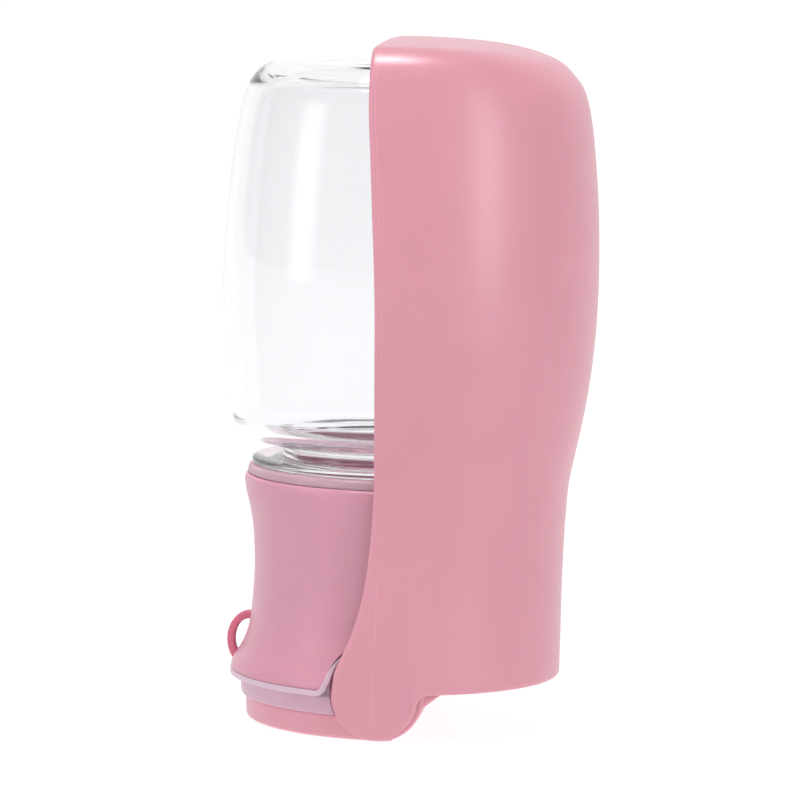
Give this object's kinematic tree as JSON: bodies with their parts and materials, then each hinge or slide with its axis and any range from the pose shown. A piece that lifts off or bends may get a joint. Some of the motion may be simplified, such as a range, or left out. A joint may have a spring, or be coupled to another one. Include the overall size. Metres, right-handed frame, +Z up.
{
  "type": "dog travel water bottle",
  "caption": "Dog travel water bottle: clear barrel bottle on a waisted cap with a push-button valve, and a half-round drinking trough that folds up over one side.",
  "frame": {"origin": "on the bottle's axis, in the plane of the flat base that it stands on", "axes": "+Z up along the bottle's axis from the cap to the bottle's base; +X towards the closed trough's back; Y along the trough's hinge"},
  "size_m": [0.0936, 0.098, 0.1705],
  "materials": {
    "pink_shell": "satin",
    "clear_plastic": "gloss",
    "frosted_ring": "satin",
    "soft_lip": "satin",
    "soft_eye": "satin",
    "seal_white": "matte",
    "black_rubber": "matte",
    "white_plastic": "satin",
    "steel": "satin"
  },
  "bodies": {
    "cap": {"cap_shell": "pink_shell", "threaded_insert": "pink_shell", "bottle_seal": "seal_white", "inlet_seal": "black_rubber", "valve_body": "white_plastic", "valve_screws": "steel", "rod_seal": "black_rubber", "rod_gland": "white_plastic", "return_spring": "steel", "end_plug": "white_plastic", "end_plug_ring": "black_rubber", "button_bezel": "pink_shell", "outlet_ring": "black_rubber", "base_shell": "pink_shell", "base_screws": "steel", "lip_seal": "soft_lip", "hinge_pins": "steel", "ear_washers": "white_plastic", "lanyard_eye": "soft_eye"},
    "ring": {"neck_ring": "frosted_ring"},
    "bottle": {"bottle": "clear_plastic"},
    "button": {"button": "pink_shell", "plunger": "white_plastic", "poppet_seal": "black_rubber"},
    "trough": {"trough": "pink_shell"}
  },
  "joints": [
    {"name": "trough_fold", "type": "hinge", "parent": "cap", "child": "trough", "pos_m": [0, 0, 0.0113], "axis": [0, 1, 0], "range_deg": [0, 180]},
    {"name": "bottle_rise", "type": "slide", "parent": "cap", "child": "ring", "axis": [0, 0, 1], "range_m": [0, 0.00051]},
    {"name": "bottle_turn", "type": "hinge", "parent": "ring", "child": "bottle", "pos_m": [0, 0, 0.05], "axis": [0, 0, 1], "range_deg": [0, 45]},
    {"name": "button_press", "type": "slide", "parent": "cap", "child": "button", "axis": [-1, 0, 0], "range_m": [0, 0.0032], "stiffness_N_per_m": 500, "springref_m": -0.005, "deforming": ["return_spring"]}
  ],
  "couplings": [
    {"joint": "bottle_rise", "follows": "bottle_turn", "m_per_rad": 0.00063662}
  ]
}
